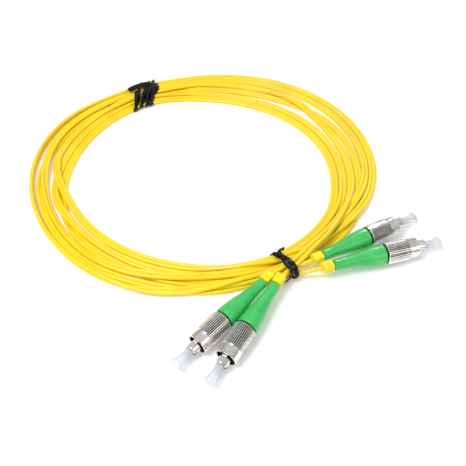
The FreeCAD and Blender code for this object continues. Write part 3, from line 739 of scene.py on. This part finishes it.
def crimp_finish():
    finish = Finish("crimp_metal", Metallic=1.0)
    finish.colours(finish.noise(500, 4), (0.3, linear(176, 170, 158)), (0.7, linear(210, 205, 196)))
    finish.rough(finish.noise(900, 4), 0.28, 0.42)
    finish.bump(finish.noise(1400, 4), 0.3, 0.00003)
    return finish.material


def fibre_finish():
    finish = Finish("fibre_buffer", Specular_IOR_Level=0.4)
    finish.colours(finish.noise(500, 2), (0.3, linear(232, 226, 206)), (0.7, linear(244, 240, 226)))
    finish.rough(finish.noise(1100, 2), 0.35, 0.48)
    return finish.material


def floor_finish():
    finish = Finish("floor_white", Specular_IOR_Level=0.2,
                    Emission_Color=(1, 1, 1, 1), Emission_Strength=0.16)
    finish.colours(finish.noise(9, 2), (0.3, (0.93, 0.93, 0.93, 1)), (0.7, (0.95, 0.95, 0.95, 1)))
    finish.rough(finish.noise(300, 3), 0.6, 0.7)
    return finish.material


def dress(piece, material):
    piece.data.materials.clear()
    piece.data.materials.append(material)


jacket, marker, boot = jacket_finish(), marker_finish(), boot_finish()
crimp, zirconia, cap = crimp_finish(), zirconia_finish(), cap_finish()
steel, buffer = steel_finish(), fibre_finish()
tie_black = tie_finish()

for label in CONNECTORS:
    nut = nickel_finish("nickel_nut_" + label, label, nut=True)
    front = nickel_finish("nickel_front_" + label, label)
    # The rear body and ferrule flange get the copy made darker with painted shade.
    body = nickel_finish("nickel_body_" + label, label, painted_gap_shade=True)
    finishes = {
        "coupling_nut": nut, "front_body": front, "rear_body": body, "crimp_sleeve": crimp,
        "ferrule": zirconia, "ferrule_flange": body, "ferrule_spring": steel, "buffered_fibre": buffer,
        "jacket_end": jacket, "jacket_tail": jacket, "boot": boot, "dust_cap": cap, "marker_sleeve": marker,
    }
    for kind, material in finishes.items():
        node = frame["nodes"]["%s_%s" % (kind, label)]
        for slot in node.material_slots:
            slot.material = material
for node in ("cord_coil", "tie_front", "tie_back"):
    for slot in frame["nodes"][node].material_slots:
        slot.material = jacket if node == "cord_coil" else tie_black

for cord in cords:
    dress(cord, jacket)
dress(web, jacket)
for piece in ties:
    dress(piece, tie_black)

# ---------------------------------------------------------------- springs, each one piece copied from its part


def make_spring(label):
    """The ferrule's spring as one piece, copied from its part, which is then hidden."""
    node = frame["nodes"]["ferrule_spring_" + label]
    data = node.data.copy()
    data.transform(node.matrix_world)
    spring = bpy.data.objects.new("spring_coil_" + label, data)
    bpy.context.scene.collection.objects.link(spring)
    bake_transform(spring)
    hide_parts("ferrule_spring_" + label)


for label in CONNECTORS:
    make_spring(label)

# ---------------------------------------------------------------- what the pieces stand for

for piece in cords + [web] + ties:
    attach(piece, "cord")
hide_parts("cord_coil", "jacket_tail_a1", "jacket_tail_b1")
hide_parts("jacket_tail_a2", "jacket_tail_b2")
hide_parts("tie_front")
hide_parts("tie_back")

# ---------------------------------------------------------------- floor and light


FLOOR_REACH = 40         # metres from the middle to each side, past the edge of any view


def make_floor():
    mesh = bmesh.new()
    corners = ((-1, -1), (1, -1), (1, 1), (-1, 1))
    mesh.faces.new([mesh.verts.new((x * FLOOR_REACH, y * FLOOR_REACH, 0)) for x, y in corners])
    data = bpy.data.meshes.new("floor")
    mesh.to_mesh(data)
    mesh.free()
    floor = bpy.data.objects.new("floor", data)
    bpy.context.scene.collection.objects.link(floor)
    dress(floor, floor_finish())


def make_world():
    """Soft white light, strongest overhead and a little dimmer lower down."""
    world = bpy.data.worlds.new("studio")
    bpy.context.scene.world = world
    world.use_nodes = True
    nodes, links = world.node_tree.nodes, world.node_tree.links
    coordinates = nodes.new("ShaderNodeTexCoord")
    split = nodes.new("ShaderNodeSeparateXYZ")
    ramp = nodes.new("ShaderNodeValToRGB")
    elements = ramp.color_ramp.elements
    elements[0].position, elements[0].color = 0.0, (0.75, 0.75, 0.75, 1)
    elements[1].position, elements[1].color = 0.75, (1, 1, 1, 1)
    elements.new(0.3).color = (0.58, 0.58, 0.58, 1)
    links.new(coordinates.outputs["Generated"], split.inputs["Vector"])
    links.new(split.outputs["Z"], ramp.inputs["Fac"])
    links.new(ramp.outputs["Color"], nodes["Background"].inputs["Color"])
    nodes["Background"].inputs["Strength"].default_value = 0.6


make_floor()
make_world()
make_area_light("key", (-0.28, -0.10, 0.55), VIEW_TARGET, 0.30, 2.3)
make_area_light("fill", (0.40, -0.30, 0.35), VIEW_TARGET, 0.35, 0.4)
make_area_light("rim", (0.10, 0.55, 0.35), VIEW_TARGET, 0.09, 0.5)
bpy.context.scene.view_settings.view_transform = "Standard"
